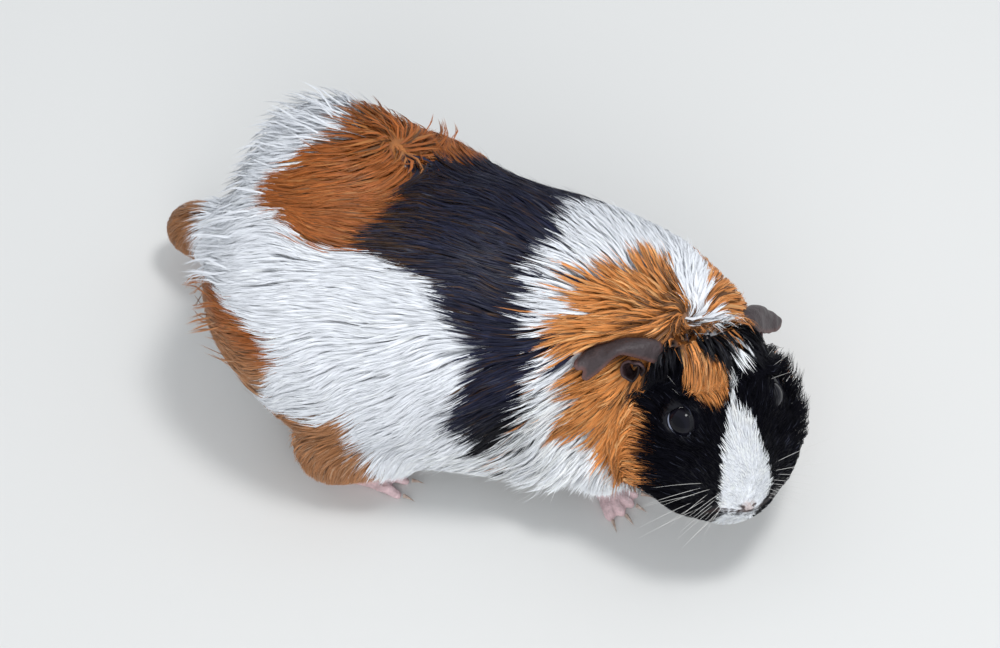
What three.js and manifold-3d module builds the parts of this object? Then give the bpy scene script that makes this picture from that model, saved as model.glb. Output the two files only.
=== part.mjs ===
// A young rough-coated guinea pig, life size, in mid step with its nose low and its head turned to its right.
// Millimetres, +Z up, the animal faces -Y and its left side is +X. The solids are the outer form of the coat.
import * as THREE from "three";
import { mergeVertices } from "three/addons/utils/BufferGeometryUtils.js";
import Module from "manifold-3d";

const wasm = await Module();
wasm.setup();

// ---------------------------------------------------------------- driving dimensions
const GAP = 0.3; // clearance that parts two neighbouring nodes
const BACK_HEIGHT = 102; // floor to the top of the coat over the loins
const TRUNK_LENGTH = 170; // rump to the front of the shoulders
const TRUNK_WIDTH = 112; // across the coat at the haunches
const HEAD_YAW = 55; // degrees that the head is turned to the animal's right
const HEAD_PITCH = 21; // degrees that it points down
const HEAD_ROLL = -12; // degrees that its left side is lifted
const HEAD_CENTRE = [-16, -74.6, 56]; // middle of the skull
const NOSE_REACH = 46; // skull middle to the tip of the nose
const CHEEK_REACH = 36; // skull middle line to the coat of the cheek
const EYE_RADIUS = 5.7;
const EYE_SHOW = 2.3; // how far the eyeball stands out of the coat
const EAR_LENGTH = 37; // with the stalk inside the coat
const EAR_WIDTH = 20;
const EAR_THICKNESS = 1.8;
const EAR_DROOP = { left: 40, right: 25 }; // degrees below level
const EAR_CUP = 4.5; // how far the ear's edges curl forward
const EAR_FOLD = 3; // how far its tip bends forward
const SOLE_HEIGHT = 4.2; // half the depth of a foot
const TOE_RADIUS = 1.8;
const CLAW_LENGTH = 4.6;
const CLAW_RADIUS = 0.9;
const LEG_CLEARANCE = 1; // the coat of the legs stops this far above the floor

const V = (x, y, z) => new THREE.Vector3(x, y, z);
const radians = THREE.MathUtils.degToRad;
const bothSides = (make) => [make(1), make(-1)];

// ---------------------------------------------------------------- masses and how they blend
// A mass is an ellipsoid of flesh and coat: its middle, its half sizes and how it is turned.
function mass(middle, half, turn = new THREE.Quaternion()) {
  return { middle: V(...middle), half: V(...half), back: turn.clone().invert() };
}

// Distance to one mass, negative inside, good to a few percent near its surface.
function distanceTo({ middle, half, back }, point) {
  const p = point.clone().sub(middle).applyQuaternion(back).divide(half);
  const reach = p.length();
  const slope = p.divide(half).length();
  return slope < 1e-9 ? -Math.min(half.x, half.y, half.z) : (reach * (reach - 1)) / slope;
}

// Two distances joined with a fillet of about the size of soft.
function blend(a, b, soft) {
  const h = Math.max(soft - Math.abs(a - b), 0) / soft;
  return Math.min(a, b) - h * h * soft * 0.25;
}

// The blended form of a list of masses, negative inside. grow pushes its whole surface outwards.
const form = (masses, soft, grow = 0) => (point) =>
  masses.reduce((d, m) => blend(d, distanceTo(m, point), soft), Infinity) - grow;

// A capsule drawn tight over a form: each vertex leaves the core line along the capsule's normal
// and stops where the form ends. across is a direction that the core line never takes.
function wrap(core, field, { sides, rings, caps, across }) {
  const length = core.getLength();
  const capsule = new THREE.CapsuleGeometry(1, length, caps, sides, rings);
  const position = capsule.getAttribute("position");
  for (let i = 0; i < position.count; i++) {
    const y = position.getY(i);
    const along = THREE.MathUtils.clamp(y, -length / 2, length / 2);
    const share = along / length + 0.5;
    const tangent = core.getTangentAt(share);
    const side = V(...across).cross(tangent).normalize();
    const top = side.clone().cross(tangent);
    const ray = side
      .multiplyScalar(position.getX(i))
      .addScaledVector(top, position.getZ(i))
      .addScaledVector(tangent, y - along)
      .normalize();
    const point = core.getPointAt(share);
    for (let step = 0; step < 90; step++) {
      const d = field(point);
      if (Math.abs(d) < 0.003) break;
      point.addScaledVector(ray, -0.85 * d);
    }
    position.setXYZ(i, point.x, point.y, point.z);
  }
  return solid(capsule);
}

// ---------------------------------------------------------------- solids: geometry to manifold and back
function solid(geometry) {
  const bare = geometry.clone();
  for (const name of Object.keys(bare.attributes)) {
    if (name !== "position") bare.deleteAttribute(name);
  }
  const merged = mergeVertices(bare, 1e-3);
  const index = merged.index.array;
  const build = () =>
    new wasm.Manifold(
      new wasm.Mesh({
        numProp: 3,
        vertProperties: new Float32Array(merged.attributes.position.array),
        triVerts: new Uint32Array(index),
      }),
    );
  if (build().volume() < 0) {
    for (let i = 0; i < index.length; i += 3) [index[i], index[i + 1]] = [index[i + 1], index[i]];
  }
  return build();
}

function geometryOf(made) {
  const { vertProperties, triVerts } = made.getMesh();
  const geometry = new THREE.BufferGeometry();
  geometry.setAttribute("position", new THREE.BufferAttribute(vertProperties, 3));
  geometry.setIndex(new THREE.BufferAttribute(triVerts, 1));
  geometry.computeVertexNormals();
  return geometry;
}

// The half space beyond a plane, as a big block. It starts the given distance past the plane.
function beyond(point, normal, past = 0) {
  const size = 400;
  const block = new THREE.BoxGeometry(size, size, size);
  block.translate(0, 0, size / 2 + past);
  block.applyQuaternion(new THREE.Quaternion().setFromUnitVectors(skyward, normal.clone().normalize()));
  block.translate(point.x, point.y, point.z);
  return solid(block);
}

const skyward = V(0, 0, 1);
const aboveFloor = beyond(V(0, 0, 0), skyward);
const largest = (made) => made.decompose().sort((a, b) => b.volume() - a.volume())[0];

// ---------------------------------------------------------------- how the head is held
function headAxes() {
  const yaw = radians(HEAD_YAW);
  const pitch = radians(HEAD_PITCH);
  const forward = V(-Math.sin(yaw) * Math.cos(pitch), -Math.cos(yaw) * Math.cos(pitch), -Math.sin(pitch));
  const left = V(Math.cos(yaw), -Math.sin(yaw), 0).applyAxisAngle(forward, radians(HEAD_ROLL));
  return new THREE.Matrix4().makeBasis(forward, left, forward.clone().cross(left));
}

const headTurn = new THREE.Quaternion().setFromRotationMatrix(headAxes());
const headPlace = V(...HEAD_CENTRE);

// A place and a direction given as forward, left and up of the head.
const headWay = (forward, left, up) => V(forward, left, up).applyQuaternion(headTurn);
const onHead = (forward, left, up) => headWay(forward, left, up).add(headPlace);
const headMass = (place, half) => mass(onHead(...place).toArray(), half, headTurn);

// ---------------------------------------------------------------- the body as masses
const coreHeight = BACK_HEIGHT * 0.52;
const halfWidth = TRUNK_WIDTH / 2;
const halfLength = TRUNK_LENGTH / 2;

// A barrel mass of the trunk: its middle, then its half sizes as shares of the half width, half length
// and height of the animal.
const barrel = (x, along, z, [wide, long, high]) =>
  mass([x, halfLength * along, z], [halfWidth * wide, halfLength * long, BACK_HEIGHT * high]);

const rump = barrel(3, 0.72, coreHeight, [0.84, 0.54, 0.43]);
const loins = barrel(2, 0.12, coreHeight + 2, [0.88, 0.72, 0.44]);
const ribs = barrel(6, -0.34, coreHeight - 3, [0.79, 0.46, 0.38]);
const haunches = bothSides((s) =>
  mass([3 + s * halfWidth * 0.47, halfLength * 0.5, 42], [halfWidth * 0.52, halfLength * 0.44, 34]),
);
const hipCrest = mass([27, halfLength * 0.68, 75], [31, 34, 32]);
const hipTuft = mass([38, halfLength * 0.84, 77], [20, 22, 22]);
const leftFlank = mass([37, 31, 64], [22, 24, 24]);
const flanks = bothSides((s) => mass([2 + s * 29, 4, 25], [18, 30, 16]));
const chest = mass([-4, -halfLength * 0.46, 32], [36, 24, 23]);

const trunkMasses = [rump, loins, ribs, ...haunches, hipCrest, hipTuft, leftFlank, ...flanks, chest];

const neckMasses = [
  mass([8, -halfLength * 0.62, 50], [35, 27, 28]),
  headMass([-20, 4, -2], [18, 24, 19]),
];

const skull = headMass([-4, 0, 4], [25, 23, 19]);
const brow = headMass([12, 0, 6], [23, 15, 12.5]);
const muzzle = headMass([NOSE_REACH - 17, 0, -4], [17.5, 11, 11.5]);
const jaw = headMass([14, 0, -15], [25, 18, 12]);
const cheeks = bothSides((s) => headMass([8, s * (CHEEK_REACH - 18) + 1.5, -9], [31, 18, 17]));
const lips = bothSides((s) => headMass([NOSE_REACH - 10, s * 6, -9], [8.5, 8, 8]));
const chin = headMass([NOSE_REACH - 13, 0, -17], [9, 7, 6]);
const crown = headMass([-6, 0, 15], [16, 18, 9]);

const headMasses = [skull, brow, muzzle, jaw, ...cheeks, ...lips, chin, crown];

const bodyForm = (grow) => form([...trunkMasses, ...neckMasses], 14, grow);
const headForm = (grow) => form(headMasses, 10, grow);

const spine = new THREE.CatmullRomCurve3([
  V(3, halfLength * 0.86, coreHeight),
  V(2, halfLength * 0.1, coreHeight + 2),
  V(2, -halfLength * 0.45, coreHeight - 2),
  V(2, -halfLength * 0.72, 50),
]);
const trunkMesh = { sides: 28, rings: 19, caps: 7, across: [0, 0, 1] };

const skullLine = new THREE.LineCurve3(onHead(-12, 0, 0), onHead(26, 0, -7));
const headMesh = { sides: 30, rings: 8, caps: 6, across: [0, 0, 1] };

const shoulderPlane = [V(0, -38, 50), V(-0.2, -0.9, 0.3)];
const napePlane = [onHead(-17, 0, 0), headWay(1, 0, -0.1)];

const wholeBody = wrap(spine, bodyForm(0), trunkMesh);
const wholeHead = wrap(skullLine, headForm(0), headMesh);
const roomForHead = wrap(skullLine, headForm(GAP), headMesh);
const roomForBody = wrap(spine, bodyForm(GAP), trunkMesh).add(roomForHead);

// ---------------------------------------------------------------- eyes
// The eye sits on the side of the skull, pushed out until only EYE_SHOW of it stands clear of the coat.
function eyePlace(side) {
  const place = onHead(12, 0, 8);
  const out = headWay(0, side, 0);
  const depth = EYE_RADIUS - EYE_SHOW;
  for (let step = 0; step < 60; step++) place.addScaledVector(out, -0.6 * (headForm(0)(place) + depth));
  return place;
}

function eyeball(side, radius) {
  const place = eyePlace(side);
  const ball = new THREE.SphereGeometry(radius, 14, 9);
  ball.translate(place.x, place.y, place.z);
  return solid(ball);
}

// ---------------------------------------------------------------- nostrils and mouth
function dent(place, half) {
  const ball = new THREE.SphereGeometry(1, 10, 6);
  ball.scale(...half).applyQuaternion(headTurn);
  const at = onHead(...place);
  ball.translate(at.x, at.y, at.z);
  return solid(ball);
}

// Two slanting nostrils at the end of the nose, and the slit between the lips.
function muzzleOpenings() {
  const [left, right] = bothSides((s) => dent([NOSE_REACH - 0.5, s * 3, -6.5], [1.8, 1.5, 1]));
  return left.add(right).add(dent([NOSE_REACH - 6, 0, -14.5], [7, 6.5, 0.8]));
}

// ---------------------------------------------------------------- ears
// A thin petal of leather on a stalk: cupped across, and drooping from the side of the crown.
function ear(side, droop, grow) {
  const petal = new THREE.SphereGeometry(1, 16, 11);
  const position = petal.getAttribute("position");
  const fall = radians(droop);
  const out = headWay(0.06, side * Math.cos(fall), -Math.sin(fall)).normalize();
  const lean = headWay(0.78, 0, -0.62); // from the ear's rear edge to its front edge
  const wide = lean.clone().addScaledVector(out, -lean.dot(out)).normalize();
  const face = wide.clone().cross(out).multiplyScalar(side);
  const root = onHead(-13, side * 15, 17);
  for (let i = 0; i < position.count; i++) {
    const share = (position.getY(i) + 1) / 2; // stalk to tip
    const belly = 0.34 + 0.7 * Math.sin(Math.PI * share ** 1.4 * 0.8); // narrow stalk, broad petal
    const across = position.getX(i) * (EAR_WIDTH / 2 + grow) * belly;
    const along = share * (EAR_LENGTH + grow);
    const cup = EAR_CUP * (across / (EAR_WIDTH / 2)) ** 2 + EAR_FOLD * share * share;
    const through = position.getZ(i) * (EAR_THICKNESS / 2 + grow) * (1.5 - 0.5 * share) - cup;
    const place = root.clone();
    place.addScaledVector(out, along).addScaledVector(wide, across).addScaledVector(face, through);
    position.setXYZ(i, place.x, place.y, place.z);
  }
  return solid(petal);
}

// ---------------------------------------------------------------- legs and feet
const legMesh = { sides: 12, rings: 5, caps: 3, across: [1, 0.2, 0.1] };
const soleMesh = { sides: 10, rings: 2, caps: 3, across: [0.1, 0.2, 1] };
const toeMesh = { sides: 6, rings: 2, caps: 2, across: [0, 0, 1] };

// A leg: a chain of masses from inside the body to the wrist or hock, wrapped about its bones.
function leg({ masses, bones }) {
  return wrap(new THREE.CatmullRomCurve3(bones.map((p) => V(...p))), form(masses, 7), legMesh);
}

// A foot: a sole from heel to knuckles and toes that fan out from them, cut flat where it meets the floor.
function foot({ heel, knuckles, width, toes, reach, spread }, grow = 0) {
  const from = V(...heel);
  const to = V(...knuckles);
  const heading = Math.atan2(to.y - from.y, to.x - from.x);
  const tilt = new THREE.Quaternion().setFromUnitVectors(V(1, 0, 0), to.clone().sub(from).normalize());
  const middle = from.clone().lerp(to, 0.5);
  const sole = mass(middle.toArray(), [from.distanceTo(to) / 2 + 3, width * 0.42, SOLE_HEIGHT], tilt);
  const ball = mass([to.x, to.y, 2.2], [width * 0.5, width * 0.5, 3.6]);
  const bone = new THREE.LineCurve3(from.clone().lerp(to, 0.15), from.clone().lerp(to, 0.85));
  let made = wrap(bone, form([sole, ball], 3, grow), soleMesh);
  const tips = [];
  for (let i = 0; i < toes; i++) {
    const fan = (i / (toes - 1) - 0.5) * 2;
    const angle = heading + radians((fan * spread) / 2);
    const way = V(Math.cos(angle), Math.sin(angle), 0);
    const aside = V(-Math.sin(heading), Math.cos(heading), 0).multiplyScalar(fan * width * 0.34);
    const root = V(to.x, to.y, TOE_RADIUS + 0.6).add(aside);
    const length = reach * (1 - 0.18 * Math.abs(fan));
    const tip = root.clone().addScaledVector(way, length).setZ(TOE_RADIUS - 0.5);
    const joint = root.clone().lerp(tip, 0.55).setZ(TOE_RADIUS + 1.1);
    const pads = [
      mass(root.toArray(), [2.6, 2.6, 2.2]),
      mass(joint.toArray(), [TOE_RADIUS * 1.15, TOE_RADIUS * 1.15, TOE_RADIUS]),
      mass(tip.toArray(), [TOE_RADIUS * 1.1, TOE_RADIUS * 1.1, TOE_RADIUS]),
    ];
    const toe = new THREE.CatmullRomCurve3([root, joint, tip]);
    made = made.add(wrap(toe, form(pads, 4, grow), toeMesh));
    tips.push({ tip, way });
  }
  return { made: made.intersect(aboveFloor), tips };
}

// A claw: a cone that starts just off the toe's end and curves down towards the floor.
function claw({ tip, way }) {
  const cone = new THREE.ConeGeometry(CLAW_RADIUS, CLAW_LENGTH, 6, 2);
  const position = cone.getAttribute("position");
  const aside = V(-way.y, way.x, 0);
  for (let i = 0; i < position.count; i++) {
    const share = position.getY(i) / CLAW_LENGTH + 0.5;
    const place = tip
      .clone()
      .addScaledVector(way, TOE_RADIUS * 1.1 + GAP + share * CLAW_LENGTH)
      .addScaledVector(aside, position.getX(i) * 0.8);
    const bend = CLAW_RADIUS - 1.3 * share * share;
    position.setXYZ(i, place.x, place.y, place.z + position.getZ(i) + bend);
  }
  return solid(cone).intersect(aboveFloor);
}

const limbs = {
  fore_right: {
    masses: [mass([-29, -42, 30], [13, 15, 20]), mass([-29, -43, 13], [7, 7.5, 11])],
    bones: [[-27, -42, 34], [-29, -42, 20], [-29, -42, 9]],
    foot: { heel: [-27, -40, 5], knuckles: [-31, -47, 3], width: 10, toes: 4, reach: 7.5, spread: 62 },
  },
  fore_left: {
    masses: [mass([28, -46, 30], [13, 15, 20]), mass([29, -50, 13], [7, 7.5, 11])],
    bones: [[27, -45, 34], [29, -49, 20], [29, -51, 9]],
    foot: { heel: [29, -50, 5], knuckles: [27, -59, 3], width: 10, toes: 4, reach: 7.5, spread: 62 },
  },
  hind_right: {
    masses: [mass([-38, 42, 26], [16, 24, 20]), mass([-41, 52, 14], [12, 14, 12])],
    bones: [[-36, 38, 30], [-39, 45, 20], [-41, 52, 12]],
    foot: { heel: [-42, 58, 6], knuckles: [-40, 35, 3.2], width: 12, toes: 3, reach: 9, spread: 34 },
  },
  hind_left: {
    masses: [
      mass([31, 74, 31], [22, 30, 23]),
      mass([38, 102, 26], [15, 25, 17]),
      mass([44, 125, 20], [11, 12, 12]),
    ],
    bones: [[29, 68, 34], [34, 92, 29], [41, 112, 24], [44, 124, 20]],
    foot: { heel: [45, 128, 17], knuckles: [43, 112, 4], width: 12, toes: 3, reach: 9, spread: 34 },
  },
};

// ---------------------------------------------------------------- materials
const finish = (color, roughness = 0.9) => new THREE.MeshStandardMaterial({ color, roughness, metalness: 0 });
const whiteCoat = finish(0xe9e8ec);
const blackCoat = finish(0x1b1a20);
const gingerCoat = finish(0xb5713a);
const earLeather = finish(0x4a3b40, 0.7);
const pinkSkin = finish(0xe0b7b9, 0.6);
const eyeGloss = finish(0x0a0c14, 0.08);
const horn = finish(0xd9c7b8, 0.45);

// ---------------------------------------------------------------- assembly
const animal = new THREE.Group();

function add(name, made, material) {
  const mesh = new THREE.Mesh(geometryOf(largest(made)), material);
  mesh.name = name;
  animal.add(mesh);
}

const behind = ([point, normal]) => beyond(point, normal.clone().negate(), GAP / 2);
const ahead = ([point, normal]) => beyond(point, normal, GAP / 2);
const sides = { left: 1, right: -1 };

let roomForEars = null;
let sockets = null;
for (const [name, side] of Object.entries(sides)) {
  add(`eye_${name}`, eyeball(side, EYE_RADIUS), eyeGloss);
  add(`ear_${name}`, ear(side, EAR_DROOP[name], 0), earLeather);
  const socket = eyeball(side, EYE_RADIUS + GAP);
  const room = ear(side, EAR_DROOP[name], GAP);
  sockets = sockets ? sockets.add(socket) : socket;
  roomForEars = roomForEars ? roomForEars.add(room) : room;
}

const head = wholeHead
  .intersect(ahead(napePlane))
  .subtract(sockets)
  .subtract(roomForEars)
  .subtract(muzzleOpenings());
const body = wholeBody.subtract(roomForHead.intersect(ahead(napePlane))).subtract(roomForEars);
add("trunk", body.intersect(behind(shoulderPlane)), blackCoat);
add("neck", body.intersect(ahead(shoulderPlane)), gingerCoat);
add("head", head, blackCoat);

for (const [name, limb] of Object.entries(limbs)) {
  const [pair, side] = name.split("_");
  const room = roomForBody.add(foot(limb.foot, GAP).made);
  const lower = foot(limb.foot);
  const coat = leg(limb).subtract(room).intersect(beyond(V(0, 0, LEG_CLEARANCE), skyward));
  add(`${pair}_leg_${side}`, coat, whiteCoat);
  add(`${pair}_foot_${side}`, lower.made.subtract(roomForBody), pinkSkin);
  lower.tips.forEach((tip, i) => add(`claw_${pair}_${side}_${i + 1}`, claw(tip), horn));
}
animal.getObjectByName("hind_leg_right").material = gingerCoat;

// The origin is the middle of the animal's box, on the floor.
const box = new THREE.Box3().setFromObject(animal);
animal.position.set(-(box.min.x + box.max.x) / 2, -(box.min.y + box.max.y) / 2, -box.min.z);

export default animal;
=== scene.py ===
# A life-size guinea pig in its rough black, white and ginger coat, caught in mid step.
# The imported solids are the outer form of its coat. Here a skin goes inside them, and the coat grows on it.
import math

import bpy
import numpy as np
from mathutils import Matrix, Vector, noise
from mathutils.kdtree import KDTree


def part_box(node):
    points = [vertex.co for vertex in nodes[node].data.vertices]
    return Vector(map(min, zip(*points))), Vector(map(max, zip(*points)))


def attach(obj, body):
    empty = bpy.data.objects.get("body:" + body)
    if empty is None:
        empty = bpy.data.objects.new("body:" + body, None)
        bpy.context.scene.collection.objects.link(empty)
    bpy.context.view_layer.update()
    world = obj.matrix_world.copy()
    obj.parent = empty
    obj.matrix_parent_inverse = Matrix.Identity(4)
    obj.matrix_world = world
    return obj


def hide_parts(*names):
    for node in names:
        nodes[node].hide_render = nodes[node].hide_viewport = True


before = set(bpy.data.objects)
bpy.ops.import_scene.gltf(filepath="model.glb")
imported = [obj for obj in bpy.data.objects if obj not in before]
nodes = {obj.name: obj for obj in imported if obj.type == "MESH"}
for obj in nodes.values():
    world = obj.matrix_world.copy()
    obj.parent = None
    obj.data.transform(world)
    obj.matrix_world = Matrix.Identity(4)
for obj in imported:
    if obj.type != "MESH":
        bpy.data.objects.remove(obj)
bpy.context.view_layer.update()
mm = 0.001

# ------------------------------------------------------------------ camera
# It looks down at the animal's right side from about a metre, and holds the whole animal with some room.
camera_azimuth = math.radians(-78)
camera_height = math.radians(52)
camera_aim = Vector((-2.0, -12.4, 50)) * mm
camera_distance = 1.1
camera_back = Vector(
    (
        math.sin(camera_azimuth) * math.cos(camera_height),
        -math.cos(camera_azimuth) * math.cos(camera_height),
        math.sin(camera_height),
    )
)
bpy.ops.object.camera_add(location=camera_aim + camera_distance * camera_back)
camera = bpy.context.object
camera.name = "camera"
camera.data.lens = 113
camera.rotation_euler = camera_back.to_track_quat("Z", "Y").to_euler()
bpy.context.scene.camera = camera

# ------------------------------------------------------------------ floor and light
# A pale floor, a round lamp overhead with a smaller one in its middle for the glint in the eyes, a wide lamp
# that fills the right side without a reflection, and an even pale sky.
overhead = Vector((0.05, -0.25, 0.97))


def new_finish(name, roughness, gloss=0.5):
    """A new material, with its nodes, its shader and the function that links nodes."""
    finish = bpy.data.materials.new(name)
    finish.use_nodes = True
    nodes_of = finish.node_tree.nodes
    shader = nodes_of["Principled BSDF"]
    shader.inputs["Roughness"].default_value = roughness
    shader.inputs["Specular IOR Level"].default_value = gloss
    return finish, nodes_of, shader, finish.node_tree.links.new


bpy.ops.mesh.primitive_plane_add(size=4)
floor = bpy.context.object
floor.name = "floor"
floor_paint, nodes_of, shader, link = new_finish("floor_paint", 0.9)
shader.inputs["Base Color"].default_value = (0.73, 0.73, 0.72, 1)
floor.data.materials.append(floor_paint)


def softbox(name, way, distance, size, power, gloss=True):
    bpy.ops.object.light_add(type="AREA", location=camera_aim + distance * way.normalized())
    lamp = bpy.context.object
    lamp.name = name
    lamp.data.shape = "DISK"
    lamp.data.size = size
    lamp.data.energy = power
    lamp.visible_glossy = gloss
    lamp.rotation_euler = way.to_track_quat("Z", "Y").to_euler()


softbox("key_lamp", overhead, 1.3, 0.36, 5.4)
softbox("glint_lamp", overhead, 1.3, 0.2, 1.8)
softbox("fill_lamp", Vector((-1.0, -0.2, 0.6)), 1.6, 1.2, 9.8, False)
sky = bpy.data.worlds.new("pale_sky")
sky.use_nodes = True
sky.node_tree.nodes["Background"].inputs["Color"].default_value = (0.91, 0.955, 1.0, 1)
sky.node_tree.nodes["Background"].inputs["Strength"].default_value = 0.64
bpy.context.scene.world = sky
bpy.context.scene.view_settings.view_transform = "Standard"


# ------------------------------------------------------------------ how the head is held
# The head has its own directions: forward to the nose, left, and up. The eyes fix where it is.
def middle_of(node):
    low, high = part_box(node)
    return (low + high) / 2


head_yaw, head_pitch, head_roll = (math.radians(a) for a in (55, 21, -12))
forward = Vector(
    (
        -math.sin(head_yaw) * math.cos(head_pitch),
        -math.cos(head_yaw) * math.cos(head_pitch),
        -math.sin(head_pitch),
    )
)
leftward = Matrix.Rotation(head_roll, 3, forward) @ Vector((math.cos(head_yaw), -math.sin(head_yaw), 0))
upward = forward.cross(leftward)
skull = (middle_of("eye_left") + middle_of("eye_right")) / 2 - (12 * forward + 8 * upward) * mm
head_ways = np.array([forward, leftward, upward])


def on_head(f, l, u):
    return skull + (f * forward + l * leftward + u * upward) * mm


def head_places(points):
    """Forward, left and up of the skull's middle, in millimetres."""
    return ((points - np.array(skull)) / mm) @ head_ways.T


def ramp(x, start, end):
    """0 before start, 1 after end, smooth between."""
    t = np.clip((x - start) / (end - start), 0, 1)
    return t * t * (3 - 2 * t)


# ------------------------------------------------------------------ flesh
# The body under the coat: the solids of trunk, neck, head and legs, made one form and then drawn in by the
# coat's depth.
def pick(*objects):
    bpy.ops.object.select_all(action="DESELECT")
    for o in objects:
        o.select_set(True)
    bpy.context.view_layer.objects.active = objects[0]


def join(name, objects):
    pick(*objects)
    if len(objects) > 1:
        bpy.ops.object.join()
    whole = bpy.context.object
    whole.name = name
    return whole


def finish_with(piece, kind, **settings):
    """Adds one modifier to a piece and applies it."""
    pick(piece)
    modifier = piece.modifiers.new(kind.lower(), kind)
    for key, value in settings.items():
        setattr(modifier, key, value)
    bpy.ops.object.modifier_apply(modifier=modifier.name)


def copy_of_node(node):
    piece = nodes[node].copy()
    piece.data = nodes[node].data.copy()
    for key in list(piece.keys()):
        del piece[key]
    piece.parent = None
    piece.data.materials.clear()
    bpy.context.scene.collection.objects.link(piece)
    piece.hide_render = False
    pick(piece)
    bpy.ops.object.mode_set(mode="EDIT")
    bpy.ops.mesh.select_all(action="SELECT")
    bpy.ops.mesh.remove_doubles(threshold=0.00001)
    bpy.ops.object.mode_set(mode="OBJECT")
    return piece


def places_of(piece):
    co = np.empty(len(piece.data.vertices) * 3, np.float32)
    piece.data.vertices.foreach_get("co", co)
    return co.reshape(-1, 3).astype(float)


def normals_of(piece):
    no = np.empty(len(piece.data.vertices) * 3, np.float32)
    piece.data.vertex_normals.foreach_get("vector", no)
    return no.reshape(-1, 3).astype(float)


def place_at(piece, co):
    piece.data.vertices.foreach_set("co", co.astype(np.float32).ravel())
    piece.data.update()


def remesh(piece, voxel, smoothing):
    pick(piece)
    piece.data.remesh_voxel_size = voxel
    bpy.ops.object.voxel_remesh()
    finish_with(piece, "SMOOTH", factor=0.6, iterations=smoothing)


sides = {"left": 1, "right": -1}
limbs = [f"{pair}_{part}_{side}" for pair in ("fore", "hind") for part in ("leg", "foot") for side in sides]
leg_nodes = [n for n in limbs if "_leg_" in n]
foot_nodes = [n for n in limbs if "_foot_" in n]
paws = np.array([middle_of(n) for n in foot_nodes])


def from_paw(points):
    """How far points are from the middle of the nearest foot, in millimetres."""
    return np.linalg.norm(points[:, None, :] - paws[None], axis=2).min(1) / mm


def coat_depth(points):
    """How far the skin lies inside the tips of the coat, in metres."""
    f, l, u = head_places(points).T
    from_skull = np.sqrt(f * f + l * l + u * u)
    on_face = ramp(f, -24, 4) * ramp(-from_skull, -66, -52)
    face = 0.9 + 5.2 * ramp(-f, -40, 8) + 2.6 * ramp(np.abs(l), 20, 33)
    face = face + 1.2 * ramp(-u, 8, 20) * ramp(-f, -40, -28)
    for side in sides:
        eye = np.array(middle_of(f"eye_{side}"))
        around = np.linalg.norm(points - eye, axis=1) / mm
        face = 0.5 + (face - 0.5) * ramp(around, 6.5, 13)
    body = 4.4 - 0.8 * ramp(-points[:, 2] / mm, -30, -12)
    depth = body + (face - body) * on_face
    return (1.0 + (depth - 1.0) * ramp(from_paw(points), 12, 36)) * mm


body_nodes = ["trunk", "neck", "head"] + leg_nodes
copies = [copy_of_node(n) for n in body_nodes]
for piece in copies:
    place_at(piece, places_of(piece) + normals_of(piece) * 0.3 * mm)
skin = join("skin", copies)
remesh(skin, 1.6 * mm, 6)
place_at(skin, places_of(skin) - normals_of(skin) * coat_depth(places_of(skin))[:, None])
remesh(skin, 1.3 * mm, 8)


# ------------------------------------------------------------------ ears
# Thin leathery hoods that droop from the crown, highest along a ridge. The rear edge turns down behind it,
# the front edge arches up over the opening, and the tip has two lobes. The ear rolls into a cup inside it.
ear_lines = {
    "right": {
        "rear": (
            (-17, -16, 9), (-20, -24, 9.5), (-22, -30, 7.5),
            (-22, -36, 5), (-20.5, -41, 3.5), (-17.5, -45.5, 3.4),
        ),
        "ridge": (
            (-14, -16, 14), (-16, -24, 14.4), (-17.5, -31, 12.8),
            (-17.7, -36.5, 9.6), (-17, -41, 6.6), (-15, -44.8, 3.4),
        ),
        "front": (
            (-9, -17, 10), (-10.5, -23, 11.5), (-14, -29, 12.3),
            (-15.6, -34, 9.9), (-13, -38.5, 5.6), (-12, -43.5, 1.4),
        ),
        "cup": (-9.0, -28.5, 8),
        "notch": 0.07,
    },
    "left": {
        "rear": (
            (-17, 16, 9), (-19.5, 22, 8.5), (-20.5, 27, 5),
            (-20, 32, 1.2), (-18, 37, -2.2), (-15.6, 41.5, -5),
        ),
        "ridge": (
            (-14, 16, 14), (-16.8, 22.5, 12.5), (-18, 28, 8.8),
            (-18, 33, 4.2), (-16.8, 37.5, -0.6), (-15.2, 41.5, -4.6),
        ),
        "front": (
            (-9, 16, 12), (-9.5, 22, 10), (-10, 26, 6.5),
            (-10.6, 31, 2), (-12.2, 36.4, -2.6), (-14.6, 41.2, -5.2),
        ),
        "cup": (-7.5, 26, 3.5),
        "notch": 0.0,
    },
}
ear_thickness = 0.8
noise.seed_set(5)


def along_line(points, share):
    """Places on a smooth line past a few points, from its first at 0 to its last at 1."""
    at = np.linspace(0, 1, len(points))
    return np.stack([np.polyval(np.polyfit(at, c, 4), share) for c in np.array(points).T], 1)


def crumple(places, size, deep):
    """Small uneven shifts, in folds of about one size."""
    return np.array([noise.noise_vector(Vector(p) / (size * mm)) for p in places]) * deep * mm


ear_rims = []


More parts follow.
